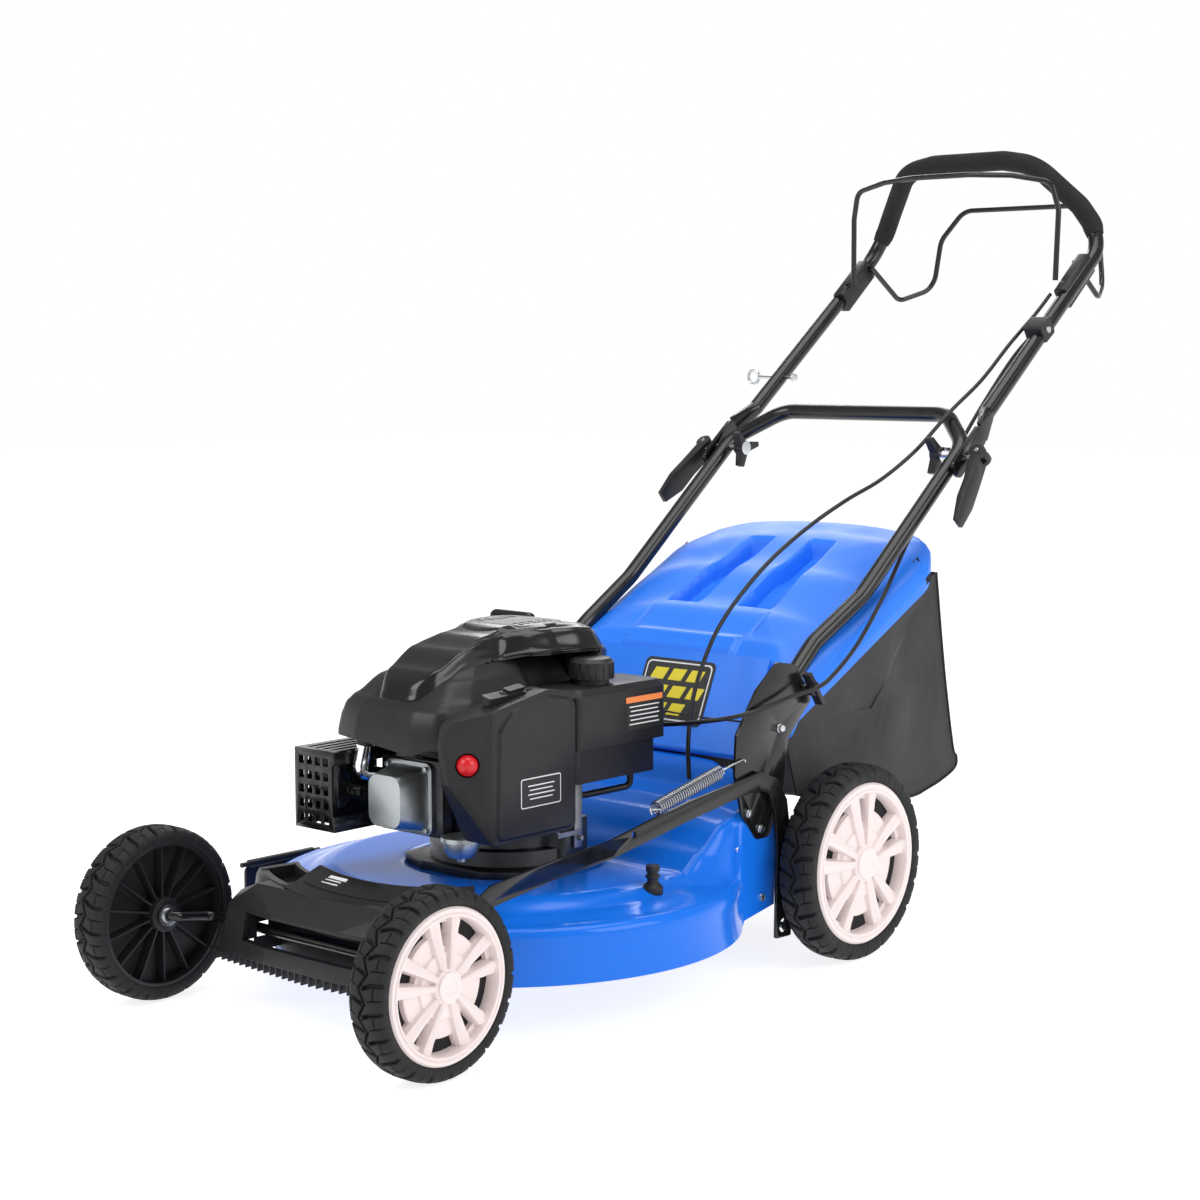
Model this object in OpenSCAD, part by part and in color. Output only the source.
// Walk-behind petrol rotary mower with a self-propel drive and a rear grass catcher.
// Axes: -Y is the front, +Z is up and +X is the left hand of a person who walks behind it.
// Every part is drawn about the blade's axis (x = 0, y = 0) with the ground at z = 0.
// placed() then moves it along Y, so that the origin is on the ground below the middle.

/* [Wheels] */
// Diameter of each front wheel
front_wheel_d = 203; // [196:1:206]
// Diameter of each rear wheel
rear_wheel_d = 244; // [236:1:250]
// Width of each tyre
tyre_w = 48; // [44:1:49]
// Distance of the front wheels' centres in front of the blade's axis
front_reach = 349; // [347:1:352]
// Distance of the rear wheels' centres behind the blade's axis
rear_reach = 336; // [334:1:340]

/* [Deck] */
// Outer radius of the round part of the deck
deck_r = 283; // [281:1:284]
// Height of the skirt's lower edge above the ground
skirt_z = 60; // [58:1:62]
// Thickness of the pressed sheet
sheet = 2.5; // [2:0.5:2.5]
// Length of the blade from tip to tip
blade_len = 530; // [500:2:540]

/* [Engine] */
// Bore of the cylinder
bore_d = 70; // [66:1:71]
// Diameter of the crankshaft
shaft_d = 25; // [22:1:25]

/* [Handle] */
// Outer diameter of the handle tubes
tube_d = 22; // [21.5:0.5:22]
// Wall of the handle tubes
tube_wall = 1.5; // [1.2:0.1:2]
// Outer diameter of the foam grip
grip_d = 29; // [28:0.5:30]
// Diameter of the bails' wire
wire_d = 8; // [7:0.5:8]

/* [Catcher] */
// Half of the lid's width over its rim
lid_half = 215; // [212:1:216]
// Thickness of the moulded lid
lid_wall = 3; // [2.5:0.5:3]

/* [Hidden] */
$fn = 48;

DECK_BLUE = "#1f7df0";
LID_BLUE = "#2b82f2";
BLACK = "#1c1b1d";
SOFT_BLACK = "#29272a";
STEEL = "#b9bcc0";
CAST = "#9a9ca0";
CAP_WHITE = "#efe3e2";
RED = "#d8202c";
eps = 0.01;

// Wheels and axles
front_y = -front_reach;
rear_y = rear_reach;
front_z = front_wheel_d / 2;
rear_z = rear_wheel_d / 2;
front_x = 231.5;                          // middle of a front tyre
rear_x = 269.5;                           // middle of a rear tyre
axle_d = 12;
front_pivot = [-292, 92];                 // y and z of the front axle's pivot line
rear_pivot = [279, 112.5];                // y and z of the rear axle's pivot line
lever = [36, 60];                         // from the front pivot to the link bar's pin
link_front = front_pivot + lever;
link_rear = rear_pivot - lever;
link_x = [201, 235];                      // middle of the link bar at its two ends
link_t = 4;

// Handle, left side: points along the tube's centre line
lower_end = [200, 228, 283];
lower_bend_low = [191, 361, 385];
lower_bend_high = [197, 455, 437];
lower_top = [198.5, 686, 624];
crossbar = [140, 735, 664];
cam_bolt = [0, 671, 612];                 // y and z of the fold's axis
upper_start = [199.5, 742, 667];
kink = [197, 1040, 899];
loop_low = [181, 1047, 936];
loop_mid = [165, 1039, 962];
loop_high = [112, 1000, 1021];
grip_bar = [60, 998, 1030];

// Bails, left side
brake_pivot = [176, 955, 852];
drive_pivot = [178, 1004, 880];
drive_rear_y = 1143;

y_mid = (drive_rear_y + wire_d / 2 + front_y - front_z) / 2;

// Catcher: the rim rises at the same slope along its whole length
rim_y = 270;
rim_z = 284;
rim_slope = 0.505;
function rim_at(y) = rim_z + rim_slope * (y - rim_y);

// Routes of the cables
drive_route = [
    [178, 939, 832], [174, 905, 803], [168, 850, 762], [166, 780, 711], [158, 714, 668],
    [144, 655, 618], [132, 590, 580], [125, 520, 555], [118, 450, 525], [112, 380, 488],
    [108, 320, 446], [108, 272, 405], [112, 236, 362], [120, 206, 318], [134, 182, 272],
    [144, 172, 232]
];
brake_route = [
    [178, 949, 817], [180, 925, 795], [172, 860, 748], [170, 790, 688], [174, 722, 630],
    [172, 694, 588], [174, 655, 556], [180, 610, 526], [190, 560, 490], [208, 500, 450],
    [224, 440, 412], [238, 385, 382], [247, 330, 356], [247, 296, 342], [240, 250, 334],
    [236, 205, 326], [222, 165, 318], [186, 150, 310], [140, 150, 302], [90, 146, 296],
    [56, 134, 292]
];

// ---------------------------------------------------------------- helpers

function unit(v) = v / norm(v);
function flip(p) = [-p[0], p[1], p[2]];
function mirrored(list) = concat(list, [for (i = [len(list) - 1 : -1 : 0]) flip(list[i])]);
function turn_between(u, v) = acos(max(-1, min(1, u * v)));

module placed() {
    translate([0, -y_mid, 0]) children();
}

// Children on both sides of the middle plane
module both() {
    children();
    mirror([1, 0, 0]) children();
}

// Turns a shape drawn in the Y-Z plane, and extruded along +X
module side_profile(x0, x1) {
    translate([x0, 0, 0])
    multmatrix([[0, 0, 1, 0], [1, 0, 0, 0], [0, 1, 0, 0], [0, 0, 0, 1]])
    linear_extrude(x1 - x0) children();
}

// Straight tube from p to q
module straight(p, q, d, hole = 0) {
    v = q - p;
    length = norm(v);
    translate(p)
    rotate([0, acos(v[2] / length), atan2(v[1], v[0])])
    difference() {
        cylinder(h = length, d = d);
        if (hole > 0) translate([0, 0, -1]) cylinder(h = length + 2, d = hole);
    }
}

// Points along a bend of radius r at corner b, between the straights from a and to c
function bend(a, b, c, r) =
    let (u = unit(b - a), v = unit(c - b),
         turn = turn_between(u, v),
         start = b - r * tan(turn / 2) * u,
         inward = unit(v - (u * v) * u),
         n = max(2, ceil(turn / 14)))
    [for (k = [0 : n]) let (t = turn * k / n)
        start + r * (1 - cos(t)) * inward + r * sin(t) * u];

// Centre line through the points, with one bend radius for each inner point
function bent(points, radii) = concat(
    [points[0]],
    [for (i = [1 : len(points) - 2]) each bend(points[i - 1], points[i], points[i + 1], radii[i - 1])],
    [points[len(points) - 1]]);

// Catmull-Rom curve through a route, n steps for each stretch
function blend_point(a, b, c, d, t) =
    0.5 * (2 * b + (c - a) * t + (2 * a - 5 * b + 4 * c - d) * t * t
           + (3 * b - a - 3 * c + d) * t * t * t);
function curve(route, n) = concat(
    [for (i = [0 : len(route) - 2], k = [0 : n - 1])
        let (a = route[max(i - 1, 0)], d = route[min(i + 2, len(route) - 1)])
        blend_point(a, route[i], route[i + 1], d, k / n)],
    [route[len(route) - 1]]);

// One ring of points round each point of a path, carried along without twisting
function tangents(path) = [for (i = [0 : len(path) - 1])
    unit(path[min(i + 1, len(path) - 1)] - path[max(i - 1, 0)])];
function carried(t) = [for (i = 0, s = unit(cross(t[0], [0.31, 0.42, 0.85])); i < len(t);
    i = i + 1, s = i < len(t) ? unit(s - (s * t[i]) * t[i]) : s) s];
function rings(path, r, sides) =
    let (t = tangents(path), s = carried(t))
    [for (i = [0 : len(path) - 1], k = [0 : sides - 1])
        let (a = 360 * k / sides)
        path[i] + r * (cos(a) * s[i] + sin(a) * cross(t[i], s[i]))];

// Rod or tube along a path
module swept(path, d, hole = 0, sides = 16) {
    n = len(path);
    far = (n - 1) * sides;
    total = n * sides;
    skin = [for (i = [0 : n - 2], k = [0 : sides - 1])
        let (m = (k + 1) % sides)
        [i * sides + k, (i + 1) * sides + k, (i + 1) * sides + m, i * sides + m]];
    if (hole > 0) {
        lining = [for (f = skin) [f[3] + total, f[2] + total, f[1] + total, f[0] + total]];
        ends = [for (k = [0 : sides - 1]) let (m = (k + 1) % sides) each [
            [k, m, m + total, k + total],
            [far + m, far + k, far + k + total, far + m + total]]];
        polyhedron(concat(rings(path, d / 2, sides), rings(path, hole / 2, sides)),
                   concat(skin, lining, ends));
    } else {
        ends = [[for (k = [0 : sides - 1]) k], [for (k = [sides - 1 : -1 : 0]) far + k]];
        polyhedron(rings(path, d / 2, sides), concat(skin, ends));
    }
}

module pipe(points, radii, d, hole = 0, sides = 16) {
    swept(bent(points, radii), d, hole, sides);
}

// Polygon with round corners of radius r
function corner_arc(a, b, c, r, n) =
    let (u = unit(b - a), v = unit(c - b),
         turn = acos(max(-1, min(1, u * v))),
         side = (u[0] * v[1] - u[1] * v[0]) > 0 ? 1 : -1,
         start = b - r * tan(turn / 2) * u,
         centre = start + side * r * [-u[1], u[0]],
         first = start - centre)
    [for (k = [0 : n]) let (t = side * turn * k / n)
        centre + [first[0] * cos(t) - first[1] * sin(t), first[0] * sin(t) + first[1] * cos(t)]];
module rounded(points, r, n = 4) {
    count = len(points);
    polygon([for (i = [0 : count - 1])
        each corner_arc(points[(i + count - 1) % count], points[i], points[(i + 1) % count], r, n)]);
}
module round_box(size, r) {
    linear_extrude(size[2])
    rounded([[0, 0], [size[0], 0], [size[0], size[1]], [0, size[1]]], r);
}

// Hexagon bolt head or nut with a washer, its face at the origin and pointing along +Z
module hex_head(across, height) {
    cylinder(h = 1, d = across * 1.35);
    translate([0, 0, 1 - eps]) cylinder(h = height, d = across * 1.155, $fn = 6);
}

// ---------------------------------------------------------------- deck

function deck_outline(t) = [
    [0, skirt_z - (t > 0 ? 5 : 0)], [deck_r - t, skirt_z - (t > 0 ? 5 : 0)], [deck_r - t, 114 - t],
    [deck_r - 10 - t, 121 - t], [230, 127 - t], [180, 140 - t], [0, 140 - t]
];
function tunnel_outline(t) = [
    [60, skirt_z + 4 - (t > 0 ? 20 : 0)], [150, skirt_z + 4 - (t > 0 ? 20 : 0)],
    [216 + t, 82 - (t > 0 ? 20 : 0)], [216 + t, 190], [248 + t, 214], [248 + t, 238 - t],
    [234, 238 - t], [222, 210 - t], [165, 204 - t], [124, 184 - t], [98, 140 - t], [60, 140 - t],
    [60, 100]
];

module deck_solid(t) {
    rotate_extrude($fn = 96) polygon(deck_outline(t));
    side_profile(-(222 - t), 222 - t) polygon(tunnel_outline(t));
}

module deck_shell() {
    flap_lug_x = 170;
    color(DECK_BLUE) {
        difference() {
            deck_solid(0);
            deck_solid(sheet);
            translate([0, 0, 130]) cylinder(h = 20, r = 42);
            // side discharge opening on the right
            translate([-300, -160, 74]) cube([70, 100, 32]);
            // the round skirt ends at the back of the tunnel
            translate([-215, 218.5, 50]) cube([430, 80, 95]);
            // bolt holes of the handle brackets
            for (c = [[185, 198], [208, 176]])
                translate([-240, c[0], c[1]]) rotate([0, 90, 0]) cylinder(h = 480, r = 4.1);
            // height-adjust slots of the side plates
            for (s = [-1, 1]) {
                translate([s * 222, 183, 140]) cube([12, 6, 22], center = true);
                translate([s * 222, 206, 110]) cube([12, 6, 24], center = true);
            }
        }
        // hinge lugs of the rear flap
        both()
        difference() {
            side_profile(flap_lug_x, flap_lug_x + 4)
                polygon([[236, 238], [248, 238], [268, 243], [268, 254], [256, 256], [240, 246]]);
            translate([flap_lug_x - 1, 261, 249]) rotate([0, 90, 0]) cylinder(h = 6, r = 3.05);
        }
        // plates that carry the rear axle, bolted behind the side plates
        both()
        difference() {
            side_profile(222, 225) rounded([[205, 74], [296, 84], [296, 140], [205, 140]], 8);
            translate([220, rear_pivot[0], rear_pivot[1]])
            rotate([0, 90, 0]) cylinder(h = 10, r = axle_d / 2 + 0.05);
        }
        // hangers of the front axle
        both()
        difference() {
            side_profile(150, 154)
                polygon([[-270, 80], [-304, 80], [-304, 112], [-236, 112], [-236, 80]]);
            translate([148, front_pivot[0], front_pivot[1]])
            rotate([0, 90, 0]) cylinder(h = 10, r = axle_d / 2 + 0.05);
        }
    }
}

// Black moulded cover in front of the deck, with a grip slot and a tray
module front_cover() {
    top = [[-200, -262], [-150, -322], [-60, -332], [60, -332], [150, -322], [200, -262],
           [150, -238], [-150, -238]];
    color(SOFT_BLACK) {
        difference() {
            hull() {
                translate([0, 0, 66]) linear_extrude(2) rounded(top, 6, 3);
                translate([0, 4, 118]) linear_extrude(2) scale([0.94, 0.985]) rounded(top, 6, 3);
                translate([0, 0, 143]) linear_extrude(2)
                    polygon([[-110, -296], [110, -296], [110, -276], [-110, -276]]);
            }
            hull() {
                translate([0, 3, 60]) linear_extrude(2) scale([0.975, 0.985]) rounded(top, 6, 3);
                translate([0, 6, 115]) linear_extrude(2) scale([0.92, 0.965]) rounded(top, 6, 3);
                translate([0, 0, 139.5]) linear_extrude(1)
                    polygon([[-106, -292], [106, -292], [106, -279], [-106, -279]]);
            }
            // grip slot in the front face
            translate([-105, -350, 84]) cube([210, 60, 32]);
            // clearance for the front axle through the ends
            for (s = [-1, 1])
                side_profile(s * 188 - 42, s * 188 + 42)
                    polygon([[-308, 40], [-308, 115], [-276, 115], [-276, 40]]);
            // the deck and its shoulder fit behind the cover
            translate([0, 0, 30]) cylinder(h = 96, r = deck_r + 0.6, $fn = 96);
            translate([0, 0, 100]) cylinder(h = 60, r = 250, $fn = 96);
        }
        // comb along the lower edge
        for (i = [-14 : 14])
            translate([i * 11.6 - 1, -328 + abs(i) * 0.9, 52]) cube([2, 14, 14.5]);
        translate([-168, -320, 63]) cube([336, 6, 3.5]);
    }
}

// Black pressed plate on each side, which carries the lower handle
module handle_brackets() {
    plate = [[240, 376], [276, 370], [311, 326], [262, 280], [254, 223], [226, 164], [200, 164],
             [172, 198], [158, 249], [161, 296], [199, 346]];
    color(BLACK)
    both()
    difference() {
        union() {
            side_profile(222.5, 226) rounded(plate, 10, 3);
            // pressed seat for the tube
            side_profile(214.5, 222.5 + eps)
                polygon([[196, 272], [214, 246], [312, 320], [296, 350]]);
        }
        // bolt of the lower handle, and the knob's bolt
        translate([200, 244, 295]) rotate([0, 90, 0]) cylinder(h = 40, r = 4.1);
        translate([200, 302, 338]) rotate([0, 90, 0]) cylinder(h = 40, r = 4.1);
        for (c = [[185, 198], [208, 176]])
            translate([200, c[0], c[1]]) rotate([0, 90, 0]) cylinder(h = 40, r = 4.1);
    }
}

// Bolts of the side plates and brackets, and the two wing knobs of the lower handle
module deck_fasteners() {
    color(STEEL)
    both() {
        for (c = [[164, 157], [165, 90], [212, 91]])
            translate([222.1, c[0], c[1]]) rotate([0, 90, 0]) hex_head(8, 5);
        for (c = [[185, 198], [208, 176]])
            translate([226.1, c[0], c[1]]) rotate([0, 90, 0]) hex_head(8, 2.6);
        for (c = [[185, 198], [208, 176]])
            translate([210, c[0], c[1]]) rotate([0, 90, 0]) cylinder(h = 16.2, r = 4);
        // bolt through the tube and the bracket
        translate([182, 244, 295]) rotate([0, 90, 0]) cylinder(h = 45, r = 4);
        translate([226.1, 244, 295]) rotate([0, 90, 0]) hex_head(8, 5);
        translate([182, 302, 338]) rotate([0, 90, 0]) cylinder(h = 48, r = 4);
    }
    color(BLACK)
    both()
    translate([228.5, 302, 338]) rotate([0, 90, 0]) {
        cylinder(h = 9, r = 9);
        for (a = [35, 215])
            rotate([0, 0, a]) translate([0, -3, 0]) cube([24, 6, 12]);
    }
}

module wash_port() {
    color(SOFT_BLACK)
    translate([226, 7, 132.2]) {
        cylinder(h = 8, r = 12);
        translate([0, 0, 7.9]) cylinder(h = 5, r1 = 12, r2 = 7.5);
        translate([0, 0, 12]) cylinder(h = 15, r = 6.5);
        translate([0, 0, 19]) cylinder(h = 3, r = 8.5);
        translate([0, 0, 26]) cylinder(h = 7, r = 8);
    }
}

// ---------------------------------------------------------------- engine

cyl_z = 240;                              // height of the cylinder's axis
primer = [111, -178, 293];                // foot of the primer bulb
primer_turn = -39;                        // direction it faces, about Z

module engine_block() {
    base = [[-92, -84], [-40, -104], [60, -104], [100, -70], [100, 60], [60, 92], [-60, 92],
            [-92, 60]];
    color(CAST)
    difference() {
        union() {
            translate([0, 0, 140.2]) linear_extrude(10) rounded(base, 16);
            translate([0, 0, 150]) cylinder(h = 158, r = 74);
            // sump, with a notch for the dipstick's cap
            difference() {
                translate([0, 0, 150]) cylinder(h = 18, r = 92);
                translate([-84, 40, 150.3]) cylinder(h = 20, r = 14.5);
            }
            // barrel, pointing to the front, with its cooling fins
            translate([0, -60, cyl_z]) rotate([90, 0, 0]) cylinder(h = 80, r = 43);
            for (i = [0 : 6])
                translate([-56, -84 - i * 8.4, cyl_z - 46]) cube([112, 3, 92]);
            translate([-50, -155.6, cyl_z - 44]) cube([100, 17, 88]);
            // governor housing below the tank
            translate([58, -8, 150]) round_box([44, 46, 52], 8);
        }
        translate([0, 0, 156]) cylinder(h = 142, r = 62);
        translate([0, 0, 130]) cylinder(h = 200, r = shaft_d / 2 + 0.05);
        translate([0, 0, cyl_z]) rotate([90, 0, 0]) cylinder(h = 139, r = bore_d / 2);
        // filler for the oil
        translate([-84, 40, 140]) cylinder(h = 30, r = 8.05);
    }
}

module piston() {
    color(STEEL)
    translate([0, -86, cyl_z]) rotate([90, 0, 0])
    difference() {
        cylinder(h = 50, d = bore_d - 0.1);
        translate([0, 0, -1]) cylinder(h = 40, d = bore_d - 12);
    }
}

module valve_cover() {
    color(STEEL) {
        translate([0, -155.9, cyl_z]) rotate([90, 0, 0]) {
            translate([-38, -42, 0]) round_box([76, 84, 6], 10);
            translate([0, 0, 6 - eps]) hull() {
                translate([-33, -37, 0]) round_box([66, 74, 1], 12);
                translate([-26, -30, 36]) round_box([52, 60, 2], 14);
            }
            for (x = [-31.5, 31.5], z = [-35.5, 35.5])
                translate([x, z, 6]) hex_head(6, 4);
        }
    }
}

module spark_plug() {
    foot = [-57, -146, cyl_z + 20];
    tip = [-70, -192, cyl_z + 57];
    along(foot, tip) {
        color(STEEL) rotate_extrude() polygon([[0, 0], [5, 0], [5, 20], [8.5, 20], [8.5, 36], [0, 36]]);
        color(BLACK) translate([0, 0, 35.9]) cylinder(h = 26, r = 8);
    }
}

module muffler() {
    color(SOFT_BLACK) {
        translate([-122, -208, 204]) round_box([45, 76, 78], 12);
        translate([-77.1, -176, 240]) rotate([0, 90, 0]) cylinder(h = 20, r = 10);
    }
}

// Perforated guard around the muffler
module muffler_guard() {
    color(BLACK)
    difference() {
        translate([-128, -222, 198]) cube([68, 98, 94]);
        translate([-125.5, -219.5, 190]) cube([63, 100, 99.5]);
        translate([-64, -230, 216]) cube([10, 110, 60]);
        // perforations of the front, then of the side and the top
        for (i = [0 : 3], k = [0 : 4])
            translate([-121 + i * 14, -226, 206 + k * 17]) cube([9, 10, 9]);
        for (i = [0 : 5], k = [0 : 4])
            translate([-132, -210 + i * 15, 206 + k * 17]) cube([10, 9, 9]);
        for (i = [0 : 3])
            translate([-118 + i * 13, -212, 284]) cube([7, 78, 12]);
    }
}

module carburettor() {
    color(STEEL) {
        translate([50.2, -142, 236]) cube([5, 44, 44]);
        translate([55, -136, 238]) round_box([32, 34, 36], 5);
        translate([71, -119, 214]) cylinder(h = 24.2, r = 15);
        translate([71, -119, 209]) cylinder(h = 5, r = 5);
        translate([87, -119, 258]) rotate([0, 90, 0]) cylinder(h = 4, r = 15);
        throttle_linkage();
    }
}

// Governor arm and throttle rod under the tank
module throttle_linkage() {
    translate([103.4, 6, 168]) cube([3, 13, 80]);
    translate([102.2, 12, 180]) rotate([0, 90, 0]) cylinder(h = 11, r = 3);
    translate([106.4, -24, 184]) cube([2, 40, 6]);
    straight([108.4, -20, 188], [74, -106, 240], 3);
}

module air_filter_element() {
    color("#c9b67c")
    translate([97, -140, 212]) round_box([30, 106, 130], 8);
}

module air_filter_cover() {
    outline = [[-162, 200], [-25, 200], [-25, 344], [-34, 362], [-72, 368], [-150, 354], [-200, 340],
               [-206, 314], [-200, 270]];
    panel = [[-158, 204], [-28, 204], [-28, 342], [-38, 356], [-72, 362], [-132, 352], [-154, 330]];
    color(SOFT_BLACK)
    difference() {
        union() {
            intersection() {
                side_profile(93, 136) rounded(outline, 10);
                // the front corner is cut off at an angle, and the primer sits in that face
                translate([0, 0, 190]) linear_extrude(190)
                    polygon([[93, -206], [100, -206], [136, -162], [136, -20], [93, -20]]);
            }
            hull() {
                side_profile(135, 136) rounded(panel, 10);
                side_profile(139, 140) offset(delta = -3) rounded(panel, 10);
            }
            // latch
            translate([104, -126, 352]) round_box([12, 62, 16], 3);
        }
        side_profile(92, 131)
            rounded([[-144, 205], [-30, 205], [-30, 340], [-38, 357], [-72, 363], [-144, 349]], 5);
        // well of the primer bulb, deep enough for its travel
        translate(primer) rotate([0, 90, primer_turn]) translate([0, 0, -11])
            cylinder(h = 51, r = 13.5);
    }
}

module primer_bulb() {
    color(RED)
    translate(primer) rotate([0, 90, primer_turn]) {
        cylinder(h = 8, r = 12);
        translate([0, 0, 8]) sphere(r = 12);
    }
}

shroud_low = [[-98, -152], [-62, -194], [56, -194], [86, -160], [86, -34], [60, -22], [60, 92],
              [20, 116], [-62, 118], [-100, 88], [-108, -60]];
shroud_mid = [[-84, -104], [-56, -146], [48, -146], [72, -110], [74, -20], [62, 86], [20, 108],
              [-56, 108], [-84, 76], [-92, -40]];
shroud_top = [[-62, -60], [-36, -92], [40, -92], [66, -62], [74, 6], [62, 66], [18, 94], [-22, 92],
              [-62, 54], [-72, 0]];

module shroud_slice(outline, z, inset) {
    translate([0, 0, z]) linear_extrude(1) offset(delta = -inset) rounded(outline, 12, 3);
}

module shroud_form(inset, drop) {
    hull() {
        shroud_slice(shroud_low, 308 - drop, inset);
        shroud_slice(shroud_low, 328 - inset, inset);
        shroud_slice(shroud_low, 350 - inset, inset + 9);
        shroud_slice(shroud_mid, 373 - inset, inset);
        shroud_slice(shroud_top, 402 - inset, inset);
    }
}

module engine_shroud() {
    color(SOFT_BLACK)
    difference() {
        shroud_form(0, 0);
        shroud_form(3, 6);
        // rope hole
        translate([-72, 88, 300]) cylinder(h = 120, r = 8);
        // cooling holes under the top cover
        for (a = [0 : 45 : 315])
            rotate([0, 0, a]) translate([24, -4, 390]) cube([22, 8, 20]);
        // seats of the tank and the air filter, clear of this shell
        translate([61, -26, 250]) cube([100, 200, 113]);
        translate([89, -260, 250]) cube([100, 260, 130]);
    }
}

// Glossy cover on top of the shroud, with vents and a long nose
module top_cover() {
    color(BLACK)
    difference() {
        union() {
            hull() {
                shroud_slice(shroud_top, 403.3, 0);
                shroud_slice(shroud_top, 413, 2);
                shroud_slice(shroud_top, 422, 9);
                shroud_slice(shroud_top, 430, 22);
            }
            side_profile(-38, 44)
                polygon([[-70, 406], [-92, 405], [-146, 375.5], [-177, 357.5], [-181, 362], [-177, 371],
                         [-148, 391], [-106, 413], [-70, 424]]);
        }
        for (s = [-1, 1], i = [0 : 4])
            translate([s * 27 - 9, -20 + i * 13, 400]) cube([18, 6, 40]);
    }
}

tank_low = [[66, -22], [134, -22], [134, 122], [66, 122]];

module fuel_tank() {
    color(SOFT_BLACK)
    difference() {
        union() {
            translate([0, 0, 250]) linear_extrude(40 + eps) rounded(tank_low, 9);
            hull() {
                translate([0, 0, 290]) linear_extrude(62)
                    rounded([[63, -24], [140, -24], [140, 134], [63, 134]], 9);
                translate([0, 0, 352]) linear_extrude(8)
                    rounded([[67, -19], [134, -19], [134, 129], [67, 129]], 9);
            }
            translate([100, 43, 359]) cylinder(h = 7, r = 21);
        }
        // inside, with a wall round the block's corner
        difference() {
            union() {
                translate([0, 0, 253]) linear_extrude(40)
                    rounded([[69, -19], [131, -19], [131, 119], [69, 119]], 7);
                translate([0, 0, 292]) linear_extrude(58)
                    rounded([[66, -21], [137, -21], [137, 131], [66, 131]], 7);
            }
            translate([0, 0, 240]) cylinder(h = 71.5, r = 77.5);
        }
        translate([0, 0, 240]) cylinder(h = 68.5, r = 74.4);
        translate([100, 43, 340]) cylinder(h = 40, r = 17.05);
    }
}

module fuel_cap() {
    color(SOFT_BLACK)
    translate([100, 43, 0])
    difference() {
        union() {
            translate([0, 0, 352]) cylinder(h = 16, r = 17);
            translate([0, 0, 366.3]) cylinder(h = 20, r = 27);
            translate([0, 0, 386.3 - eps]) cylinder(h = 4, r1 = 26, r2 = 22);
        }
        for (a = [0 : 20 : 340])
            rotate([0, 0, a]) translate([26, -2, 368]) cube([4, 4, 16]);
    }
}

module fuel_hose() {
    color(BLACK)
    pipe([[118, 92, 249.6], [118, 92, 232], [96, 40, 226], [82, -20, 226], [79, -102, 240]],
         [8, 14, 14], 8, 4, 12);
}

module oil_dipstick() {
    color(SOFT_BLACK)
    translate([-84, 40, 0]) {
        translate([0, 0, 142]) cylinder(h = 12, r = 8);
        translate([0, 0, 150.6]) cylinder(h = 26, r = 14);
        translate([-14, -3, 170]) cube([28, 6, 14]);
    }
}

module starter_grip() {
    mid = [-72, 88, 0];
    color(BLACK) {
        translate(mid + [0, 0, 421]) rotate([0, 90, 0]) translate([0, 0, -27]) {
            cylinder(h = 54, r = 9);
            sphere(r = 9);
            translate([0, 0, 54]) sphere(r = 9);
        }
        translate(mid + [0, 0, 396]) cylinder(h = 20, r = 6);
    }
    // rope, down into the shroud
    color("#c8c4ba") translate(mid + [0, 0, 318]) cylinder(h = 80, r = 2.2);
}

module crankshaft() {
    throw = 28;
    color(STEEL) {
        translate([0, 0, 82]) cylinder(h = cyl_z - 100, d = shaft_d);
        translate([0, 0, cyl_z + 20]) cylinder(h = 374 - cyl_z - 20, d = shaft_d);
        translate([0, 0, cyl_z - 30]) cylinder(h = 14, r = 48);
        translate([0, 0, cyl_z + 16]) cylinder(h = 14, r = 48);
        translate([0, -throw, cyl_z - 17]) cylinder(h = 34, r = 15);
        // pulley of the drive
        difference() {
            translate([0, 0, belt_z - 9]) cylinder(h = 17, r = 34);
            rotate_extrude() polygon([[28, belt_z], [36, belt_z - 6], [36, belt_z + 6]]);
        }
    }
}

module flywheel() {
    color(CAST) {
        difference() {
            translate([0, 0, 330]) cylinder(h = 16, r = 50);
            translate([0, 0, 320]) cylinder(h = 40, d = shaft_d);
        }
        for (a = [0 : 30 : 330])
            rotate([0, 0, a]) translate([20, -1.5, 345.9]) cube([28, 3, 16]);
    }
}

module blade() {
    half = blade_len / 2;
    color(STEEL) {
        translate([-half, -27, 76]) cube([2 * half, 54, 3.5]);
        // lifting wings at the trailing edges
        for (a = [0, 180])
            rotate([0, 0, a])
            translate([half - 90, 27 - eps, 76])
            rotate([30, 0, 0]) cube([80, 18, 3.5]);
        translate([0, 0, 79.4]) cylinder(h = 2.6, r = 34);
        translate([0, 0, 66]) cylinder(h = 10.1, d = 22, $fn = 6);
    }
}

// ---------------------------------------------------------------- drive

belt_z = 125;
belt_r = 33;
gear_r = 22;
gear_y = 300;

module drive_belt() {
    color(BLACK)
    translate([0, 0, belt_z - 4]) linear_extrude(8)
    difference() {
        hull() {
            circle(r = belt_r + 4);
            translate([0, gear_y]) circle(r = gear_r + 4);
        }
        hull() {
            circle(r = belt_r + 1.2);
            translate([0, gear_y]) circle(r = gear_r + 1.2);
        }
    }
}

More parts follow.
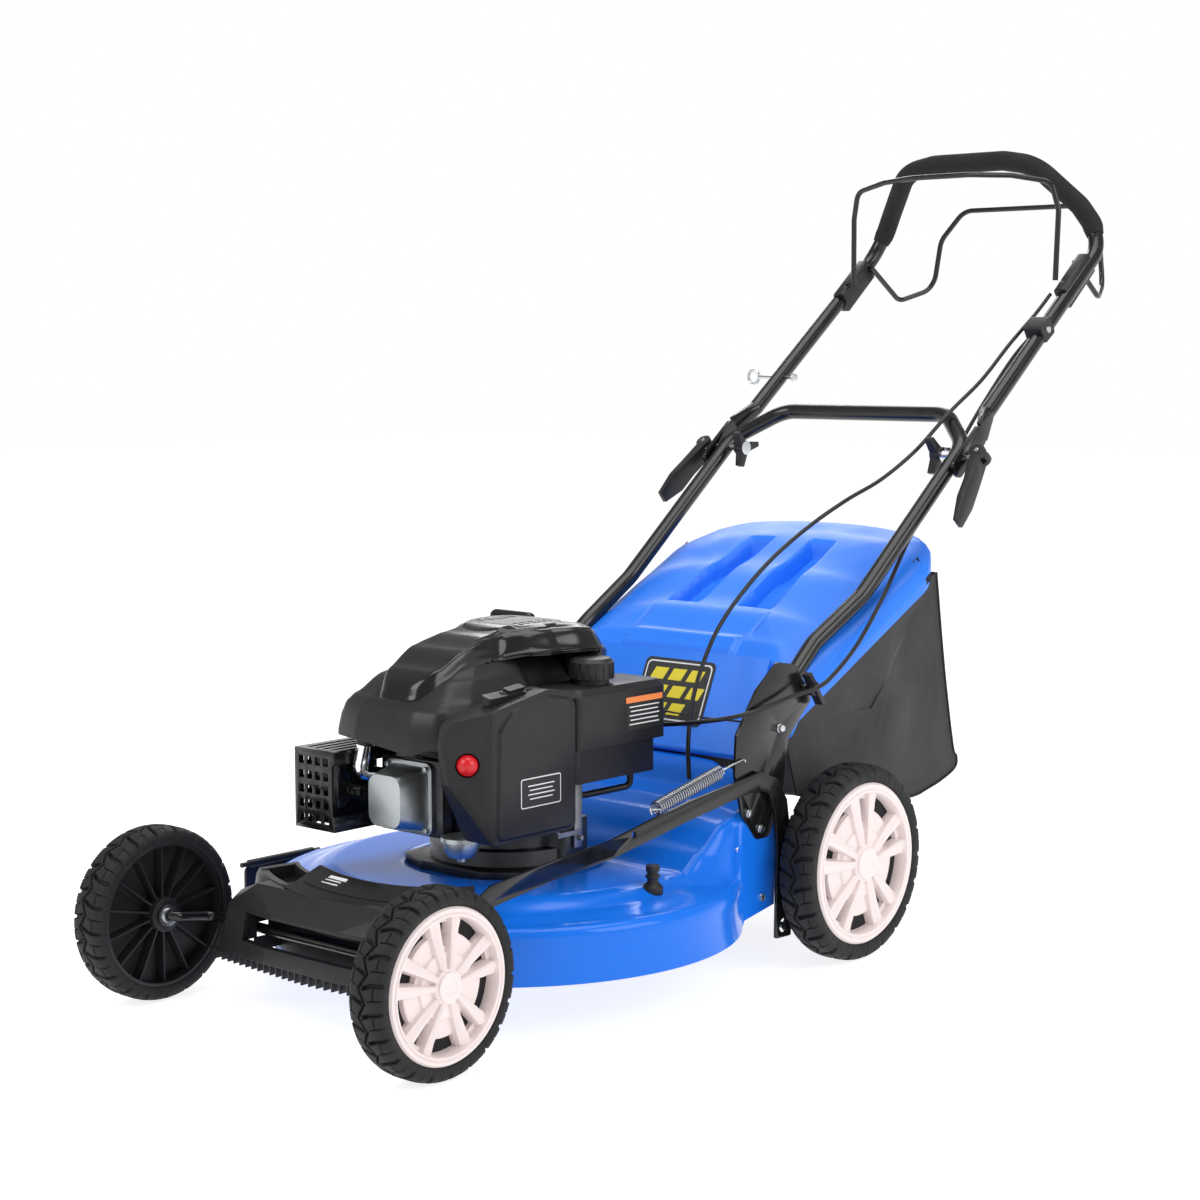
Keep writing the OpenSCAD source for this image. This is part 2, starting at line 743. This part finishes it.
module gearbox() {
    color(CAST) {
        difference() {
            union() {
                translate([-34, 298, 84]) round_box([68, 62, 26], 10);
                translate([-34.1, rear_y, rear_z]) rotate([0, 90, 0]) cylinder(h = 68.2, r = 22);
            }
            translate([-40, rear_y, rear_z]) rotate([0, 90, 0]) cylinder(h = 80, d = axle_d + 2);
            // room for the pulley and the belt
            translate([0, gear_y, 115]) cylinder(h = 40, r = gear_r + 6.5);
        }
        translate([0, gear_y, 106]) cylinder(h = 20, r = 7);
        translate([0, gear_y, 119.2]) cylinder(h = 11, r = gear_r + 0.8);
    }
}

// ---------------------------------------------------------------- cables

module brake_cable() {
    color(BLACK) swept(curve(brake_route, 4), 5.5, 0, 8);
}

module drive_cable() {
    color(BLACK) swept(curve(drive_route, 4), 5.5, 0, 8);
}

// ---------------------------------------------------------------- axles, link and spring

module front_axle() {
    arm_x = 198;
    end_x = 247;
    color(BLACK) {
        pipe([[end_x, front_y, front_z], [arm_x, front_y, front_z],
              [arm_x, front_pivot[0], front_pivot[1]], [-arm_x, front_pivot[0], front_pivot[1]],
              [-arm_x, front_y, front_z], [-end_x, front_y, front_z]],
             [12, 12, 12, 12], axle_d);
        // lever of the link bar
        side_profile(191, 196)
            polygon([front_pivot + [-9, 0], front_pivot + [9, 0],
                     link_front + [8, 4], link_front + [0, 9], link_front + [-8, 4]]);
        translate([190, link_front[0], link_front[1]]) rotate([0, 90, 0]) cylinder(h = 15.5, r = 4);
    }
    color(STEEL)
    both()
    translate([245, front_y, front_z]) rotate([0, 90, 0]) cylinder(h = 5, r = 9, $fn = 6);
}

module rear_axle() {
    x0 = 237.5;
    crank = [rear_pivot + [-14, 6], rear_pivot + [4, 15], [rear_y + 8, rear_z + 12],
             [rear_y + 14, rear_z - 4], [rear_y, rear_z - 14], rear_pivot + [10, -14]];
    color(BLACK) {
        // pivot rod across the deck
        translate([-x0 - 3, rear_pivot[0], rear_pivot[1]])
            rotate([0, 90, 0]) cylinder(h = 2 * x0 + 6, d = axle_d);
        both() side_profile(x0 + 0.5, x0 + 4.5) rounded(crank, 5, 3);
        // arm down to the link bar's pin, on the left
        side_profile(x0 + 0.5, x0 + 4.5)
            rounded([rear_pivot + [-12, 8], rear_pivot + [10, 8],
                     link_rear + [9, -6], link_rear + [-9, -6]], 5, 3);
        translate([231, link_rear[0], link_rear[1]]) rotate([0, 90, 0]) cylinder(h = 9, r = 4);
        // height lever with its knob, on the right
        side_profile(-x0 - 4.5, -x0 - 0.5)
            rounded([rear_pivot + [-12, -4], rear_pivot + [10, -4], [316, 262], [302, 266]], 4, 3);
        translate([-x0 - 7, 309, 258]) rotate([-14, 0, 0]) translate([0, -9, 0])
            round_box([9, 18, 40], 3);
    }
    // drive shaft, through the gearbox and the wheels
    color(STEEL) {
        translate([-286, rear_y, rear_z]) rotate([0, 90, 0]) cylinder(h = 572, d = axle_d);
        both()
        translate([284, rear_y, rear_z]) rotate([0, 90, 0]) cylinder(h = 5, r = 9, $fn = 6);
    }
}

// Flat bar: rises from the front lever, passes the spring's hole and hooks down behind the bracket
module link_bar() {
    span = link_rear[0] - link_front[0];
    turn = atan((link_x[1] - link_x[0]) / span);
    edge_up = [[-12, 8], [22, 27], [104, 39], [204, 50], [266, 64], [330, 77], [417, 90], [456, 96],
               [486, 84], [504, 56], [513, 0]];
    edge_down = [[513, -114], [485, -114], [487, 0], [482, 46], [472, 66], [454, 74], [418, 70],
                 [334, 55], [270, 42], [206, 29], [106, 18], [20, 3], [8, -9], [-8, -6]];
    color(BLACK)
    difference() {
        translate([link_x[0], link_front[0], link_front[1]])
        rotate([0, 0, -turn])
        side_profile(-link_t / 2, link_t / 2) rounded(concat(edge_up, edge_down), 2, 2);
        translate([190, link_front[0], link_front[1]]) rotate([0, 90, 0]) cylinder(h = 25, r = 4.08);
        // open pivot: the rear pin has room to rise and fall in this hole
        translate([220, link_rear[0], link_rear[1]]) rotate([0, 90, 0]) cylinder(h = 25, r = 9);
        translate([200, -18, 203]) rotate([0, 90, 0]) cylinder(h = 40, r = 4);
    }
}

module balance_spring() {
    low = [229, 8, 231];
    high = [229, 124, 257];
    hook = [229, 172, 266];
    color(STEEL) {
        straight(low, high, 17);
        straight(high, hook, 2.5);
        straight(low + [0, -9, -4], low, 2.5);
    }
}

// ---------------------------------------------------------------- wheels

// Lays a wheel drawn about Z, its outer face up, at a wheel's centre; side is 1 or -1
module at_wheel(side, x, y, z) {
    translate([side * x, y, z]) rotate([0, side * 90, 0]) children();
}

module at_front(side) {
    at_wheel(side, front_x, front_y, front_z) children();
}

module at_rear(side) {
    at_wheel(side, rear_x, rear_y, rear_z) children();
}

module tyre(r) {
    w = tyre_w / 2;
    lugs = 30;
    color(SOFT_BLACK)
    difference() {
        rotate_extrude($fn = 96)
            polygon([[r * 0.83, -w + 2], [r - 7, -w], [r, -w + 7], [r, w - 7], [r - 7, w],
                     [r * 0.83, w - 2]]);
        // grooves across both shoulders
        for (i = [0 : lugs - 1], s = [0, 1])
            rotate([0, 0, (i + s / 2) * 360 / lugs])
            translate([r - 3, -1.8, s == 0 ? 3 : -w - 1]) cube([6, 3.6, w - 2]);
    }
}

module rim(r) {
    w = tyre_w / 2;
    seat = r * 0.83 - 0.1;
    ribs = 14;
    color(BLACK)
    difference() {
        union() {
            rotate_extrude($fn = 96)
                polygon([[seat - 4, -w + 3], [seat, -w + 3], [seat, w - 3], [seat - 4, w - 3],
                         [seat - 4, 3], [20, 3], [20, w - 12], [0, w - 12], [0, -w + 2],
                         [20, -w + 2], [20, 0], [seat - 4, 0]]);
            for (i = [0 : ribs - 1])
                rotate([0, 0, i * 360 / ribs])
                translate([18, -1, -w + 8]) cube([seat - 21, 2, w - 7]);
        }
        translate([0, 0, -w]) cylinder(h = 2 * w, r = axle_d / 2 + 0.05);
    }
}

module hubcap(r) {
    w = tyre_w / 2;
    edge = r * 0.83 - 1.2;
    color(CAP_WHITE)
    difference() {
        rotate_extrude($fn = 96)
            polygon([[0, w - 1], [0, w - 4], [r * 0.2, w - 4], [edge - 12, w - 8], [edge - 3.4, w - 8],
                     [edge - 3.4, w - 2.6], [edge, w - 2.6], [edge, w + 1.5], [edge - 8, w + 2],
                     [edge - 14, w - 4], [r * 0.2, w - 1]]);
        // five pairs of windows
        for (i = [0 : 4], s = [-1, 1])
            rotate([0, 0, i * 72 + s * 13])
            translate([0, 0, w - 12])
            linear_extrude(14)
            polygon([[r * 0.3, -2.5], [edge - 16, -6], [edge - 16, 6], [r * 0.3, 2.5]]);
    }
}

// ---------------------------------------------------------------- handle

lower_points = mirrored([lower_end, lower_bend_low, lower_bend_high, lower_top, crossbar]);
loop_points = mirrored([kink, loop_low, loop_mid, loop_high, grip_bar]);

module lower_handle() {
    color(BLACK)
    difference() {
        pipe(lower_points, [90, 90, 60, 45, 45, 60, 90, 90], tube_d, tube_d - 2 * tube_wall);
        for (c = [[244, 295], [302, 338]])
            translate([-240, c[0], c[1]]) rotate([0, 90, 0]) cylinder(h = 480, r = 4.1);
        translate([-240, cam_bolt[1], cam_bolt[2]]) rotate([0, 90, 0]) cylinder(h = 480, r = 5.05);
    }
}

// The end of the upper tube is pressed flat where it meets the lower one
module upper_handle() {
    flat_x = 209.8;
    flat_w = 5.5;
    reach = upper_start - [upper_start[0], cam_bolt[1], cam_bolt[2]];
    angle = atan2(reach[2], reach[1]);
    color(BLACK) {
        pipe(concat([upper_start], loop_points, [flip(upper_start)]),
             [60, 30, 40, 60, 60, 60, 60, 40, 30, 60], tube_d, tube_d - 2 * tube_wall);
        both()
        difference() {
            translate([0, cam_bolt[1], cam_bolt[2]]) rotate([angle, 0, 0]) {
                side_profile(flat_x, flat_x + flat_w)
                    rounded([[-36, -14], [50, -15], [50, 15], [-36, 14]], 9);
                hull() {
                    side_profile(flat_x, flat_x + flat_w) translate([49, -15]) square([1, 30]);
                    translate([upper_start[0], norm(reach) - eps, 0])
                        rotate([-90, 0, 0]) cylinder(h = 1, d = tube_d);
                }
            }
            translate([190, cam_bolt[1], cam_bolt[2]]) rotate([0, 90, 0]) cylinder(h = 40, r = 5.05);
        }
    }
}

module foam_grip() {
    start = loop_low + 0.45 * (kink - loop_low);
    inner = [for (i = [1 : len(loop_points) - 2]) loop_points[i]];
    color(SOFT_BLACK)
    pipe(concat([start], inner, [flip(start)]), [30, 40, 60, 60, 60, 60, 40, 30], grip_d, tube_d + 0.3);
}

module bail_brackets() {
    color(BLACK)
    both()
    difference() {
        along([205, 948, 826], [205, 1012, 878])
            translate([-22, -17, 0]) round_box([20, 34, 82], 5);
        pipe([upper_start, kink, loop_low], [60], tube_d + 0.3);
        for (c = [brake_pivot, drive_pivot])
            translate([180, c[1], c[2]]) rotate([0, 90, 0]) cylinder(h = 10, r = 3.05);
    }
}

// Lays children drawn about Z along the line from p to q
module along(p, q) {
    v = unit(q - p);
    side = unit(cross(v, [1, 0, 0]));
    other = cross(side, v);
    multmatrix([
        [other[0], side[0], v[0], p[0]],
        [other[1], side[1], v[1], p[1]],
        [other[2], side[2], v[2], p[2]],
        [0, 0, 0, 1]
    ]) children();
}

// Eye bolt on the right-hand tube that holds the starter rope
module rope_guide() {
    y = 800;
    z = 712.4;
    color(STEEL) {
        straight([-170, y, z], [-238, y, z], 6);
        translate([-248, y, z]) rotate([90, 0, 0]) rotate_extrude() translate([10, 0]) circle(d = 5);
        translate([-175, y, z]) rotate([0, 90, 0]) hex_head(9, 5);
    }
}

// Pins of a bail in the brackets
module bail_pins(c) {
    both() translate([c[0], c[1], c[2]]) rotate([0, 90, 0]) cylinder(h = 185 - c[0], r = 3);
}

module brake_bail() {
    color(BLACK) {
        pipe(mirrored([brake_pivot, [178, 957, 952], [168, 952, 992], [110, 938, 1003],
                       [50, 924, 1006]]),
             [20, 14, 24, 40, 40, 24, 14, 20], wire_d);
        bail_pins(brake_pivot);
    }
}

module drive_bail() {
    color(BLACK) {
        pipe(mirrored([drive_pivot, [176, 1078, 830], [150, 1136, 850], [140, 1140, 925],
                       [100, drive_rear_y, 970]]),
             [16, 22, 30, 22, 22, 30, 22, 16], wire_d);
        bail_pins(drive_pivot);
    }
}

// Lever drawn about its own pin: X is outboard and Z runs from the pin to the tip
cam_x = 235;
cam_angle = [51, 40];                     // slope of the left and the right lever
module cam_lever(slope) {
    tip = 112;
    color(BLACK)
    translate([cam_x, cam_bolt[1], cam_bolt[2]])
    rotate([90 + slope, 0, 0])
    difference() {
        union() {
            rotate([90, 0, 0]) translate([0, 0, -12]) cylinder(h = 24, r = 11);
            hull() {
                translate([-7, -12, 8]) cube([14, 24, 4]);
                translate([0, -13, 46]) cube([11, 26, 2]);
            }
            hull() {
                translate([0, -13, 46]) cube([11, 26, 2]);
                translate([4, -16, 76]) cube([8, 32, 2]);
                translate([9, -8, tip - 2]) cube([6, 18, 2]);
            }
        }
        rotate([90, 0, 0]) translate([0, 0, -20]) cylinder(h = 40, r = 3.05);
        // slot for the head of the clamp bolt
        translate([-22, -5.3, -22]) cube([32, 10.6, 33]);
    }
}

module cam_lever_left() {
    cam_lever(cam_angle[0]);
}

module cam_lever_right() {
    mirror([1, 0, 0]) cam_lever(cam_angle[1]);
}

// Clamp bolts of the fold: a pin for the cam, a shank through both tubes, a three-armed knob
module clamp_bolts() {
    color(STEEL)
    both()
    translate([168, cam_bolt[1], cam_bolt[2]]) rotate([0, 90, 0]) cylinder(h = cam_x - 168 + 3, r = 5);
    color(STEEL)
    for (i = [0, 1])
        mirror([i, 0, 0])
        translate([cam_x, cam_bolt[1], cam_bolt[2]])
        rotate([cam_angle[i], 0, 0]) translate([0, 0, -14]) cylinder(h = 28, r = 3);
    color(BLACK)
    both()
    translate([176.4, cam_bolt[1], cam_bolt[2]])
    rotate([0, -90, 0]) {
        cylinder(h = 16, r = 10);
        for (a = [80, 200, 320])
            rotate([0, 0, a]) hull() {
                translate([0, -7, 3]) cube([4, 14, 12]);
                translate([22, -3.5, 6]) cube([6, 7, 11]);
            }
    }
}

// ---------------------------------------------------------------- catcher

module lid_form(inset, drop) {
    hull()
    for (s = [-1, 1]) {
        // rim: front corner, hood, rear corner and the round rear end
        translate([s * (lid_half - 20), 288, rim_at(288) - drop])
            cylinder(h = 9 + drop - inset, r = 12 - inset, $fn = 24);
        translate([s * 120, 276, 262 - drop]) cylinder(h = 10, r = 8 - inset, $fn = 16);
        translate([s * (lid_half - 50), 576, rim_at(576) - drop])
            cylinder(h = 22 + drop - inset, r = 50 - inset, $fn = 32);
        translate([s * 20, 596, rim_at(596) - drop]) cylinder(h = 30 + drop - inset, r = 88 - inset);
        // crown
        translate([s * 104, 346, 376 - inset]) cylinder(h = 2, r = 20 - inset, $fn = 24);
        translate([s * 30, 346, 388 - inset]) cylinder(h = 2, r = 20 - inset, $fn = 24);
        translate([s * 98, 576, 490 - inset]) cylinder(h = 2, r = 60 - inset, $fn = 32);
        translate([s * 10, 590, 520 - inset]) cylinder(h = 2, r = 80 - inset, $fn = 32);
    }
}

module catcher_lid() {
    color(LID_BLUE)
    difference() {
        lid_form(0, 0);
        lid_form(lid_wall, 60);
        // mouth, which the rear flap closes
        translate([0, 261, 249]) rotate([-24, 0, 0]) translate([-165, -60, -20]) cube([330, 64, 165]);
    }
}

module catcher_bag() {
    half = lid_half - 6;
    outer = [[276, rim_at(276) - 1], [300, 200], [552, 163], [652, 180], [666, 194], [654, 214],
             [610, rim_at(610) - 1]];
    inner = [[200, rim_at(276) + 60], [200, 204], [302, 204], [552, 167], [650, 183], [661, 195],
             [650, 213], [606, rim_at(606) + 60]];
    color(BLACK)
    difference() {
        side_profile(-half, half) polygon(outer);
        side_profile(-half + 3, half - 3) polygon(inner);
    }
}

module catcher_frame() {
    color(STEEL)
    pipe([[-190, 590, rim_at(590) - 14], [-190, 296, rim_at(296) - 14], [-190, 316, 214],
          [190, 316, 214], [190, 296, rim_at(296) - 14], [190, 590, rim_at(590) - 14]],
         [12, 20, 20, 12], 7);
}

module rear_flap() {
    color(LID_BLUE)
    difference() {
        union() {
            translate([0, 261, 249]) rotate([-24, 0, 0]) {
                translate([-160, -2, 0]) cube([320, 3, 128]);
            }
            translate([-166, 261, 249]) rotate([0, 90, 0]) cylinder(h = 332, r = 5);
            translate([-178, 261, 249]) rotate([0, 90, 0]) cylinder(h = 356, r = 3);
        }
    }
}

module chute_flap() {
    color(BLACK) {
        side_profile(-291, -287)
            rounded([[-166, 66], [-52, 66], [-52, 116], [-64, 122], [-150, 122], [-166, 112]], 8);
        translate([-289, -160, 118]) rotate([-90, 0, 0]) cylinder(h = 104, r = 5);
        translate([-289, -172, 118]) rotate([-90, 0, 0]) cylinder(h = 128, r = 3);
    }
}

// ---------------------------------------------------------------- assembly

placed() deck_shell();
placed() front_cover();
placed() handle_brackets();
placed() deck_fasteners();
placed() wash_port();
placed() engine_block();
placed() piston();
placed() valve_cover();
placed() spark_plug();
placed() muffler();
placed() muffler_guard();
placed() carburettor();
placed() air_filter_element();
placed() air_filter_cover();
placed() engine_shroud();
placed() top_cover();
placed() fuel_tank();
placed() fuel_hose();
placed() brake_cable();
placed() drive_cable();
placed() lower_handle();
placed() crankshaft();
placed() flywheel();
placed() blade();
placed() drive_belt();
placed() starter_grip();
placed() primer_bulb();
placed() fuel_cap();
placed() oil_dipstick();
placed() front_axle();
placed() rear_axle();
placed() gearbox();
placed() link_bar();
placed() balance_spring();
placed() at_front(1) tyre(front_z);  // front_left_tyre
placed() at_front(1) rim(front_z);  // front_left_rim
placed() at_front(1) hubcap(front_z);  // front_left_hubcap
placed() at_front(-1) tyre(front_z);  // front_right_tyre
placed() at_front(-1) rim(front_z);  // front_right_rim
placed() at_front(-1) hubcap(front_z);  // front_right_hubcap
placed() at_rear(1) tyre(rear_z);  // rear_left_tyre
placed() at_rear(1) rim(rear_z);  // rear_left_rim
placed() at_rear(1) hubcap(rear_z);  // rear_left_hubcap
placed() at_rear(-1) tyre(rear_z);  // rear_right_tyre
placed() at_rear(-1) rim(rear_z);  // rear_right_rim
placed() at_rear(-1) hubcap(rear_z);  // rear_right_hubcap
placed() upper_handle();
placed() foam_grip();
placed() bail_brackets();
placed() rope_guide();
placed() brake_bail();
placed() drive_bail();
placed() cam_lever_left();
placed() cam_lever_right();
placed() clamp_bolts();
placed() catcher_lid();
placed() catcher_bag();
placed() catcher_frame();
placed() rear_flap();
placed() chute_flap();
